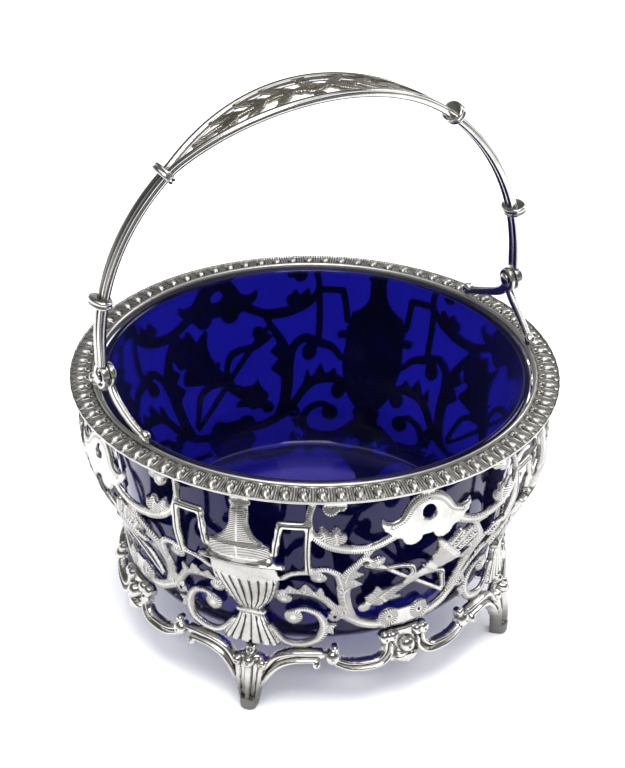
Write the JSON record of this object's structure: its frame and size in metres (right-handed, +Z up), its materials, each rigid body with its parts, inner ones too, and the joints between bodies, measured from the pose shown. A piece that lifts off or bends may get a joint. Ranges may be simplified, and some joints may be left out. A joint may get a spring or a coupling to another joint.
{
  "type": "sugar basket",
  "caption": "Pierced silver sugar basket with a bombe openwork body, egg-and-dart rim, swing bail handle, scroll gallery on feet and a lift-out cobalt glass liner.",
  "frame": {"origin": "centre of the basket on the surface that its four feet rest on", "axes": "+Z up, +X along the handle's hinge axis, +Y the way the handle leans a little at rest"},
  "size_m": [0.1374, 0.1374, 0.1624],
  "materials": {
    "silver": "polished silver with darker recesses",
    "cobalt_glass": "polished cobalt blue glass"
  },
  "bodies": {
    "basket": {"pierced_body": "silver", "rim_border": "silver", "gallery_leg_1": "silver", "gallery_leg_2": "silver", "gallery_leg_3": "silver", "gallery_leg_4": "silver", "gallery_swag_1": "silver", "gallery_swag_2": "silver", "gallery_swag_3": "silver", "gallery_swag_4": "silver", "liner_ledge_1": "silver", "liner_ledge_2": "silver", "liner_ledge_3": "silver", "liner_ledge_4": "silver", "bracket_right": "silver", "bracket_left": "silver", "hinge_pin_right": "silver", "hinge_pin_left": "silver"},
    "handle": {"handle_rail_front": "silver", "handle_rail_back": "silver", "handle_panel": "silver", "handle_eye_right": "silver", "handle_eye_left": "silver", "handle_collar_right_lower": "silver", "handle_collar_right_upper": "silver", "handle_collar_left_lower": "silver", "handle_collar_left_upper": "silver"},
    "liner": {"glass_liner": "cobalt_glass"}
  },
  "joints": [
    {"name": "handle_swing", "type": "hinge", "parent": "basket", "child": "handle", "pos_m": [0, 0, 0.091], "axis": [1, 0, 0], "range_deg": [-90, 97]},
    {"name": "liner_lift", "type": "slide", "parent": "basket", "child": "liner", "axis": [0, 0, 1], "range_m": [0, 0.011]}
  ]
}
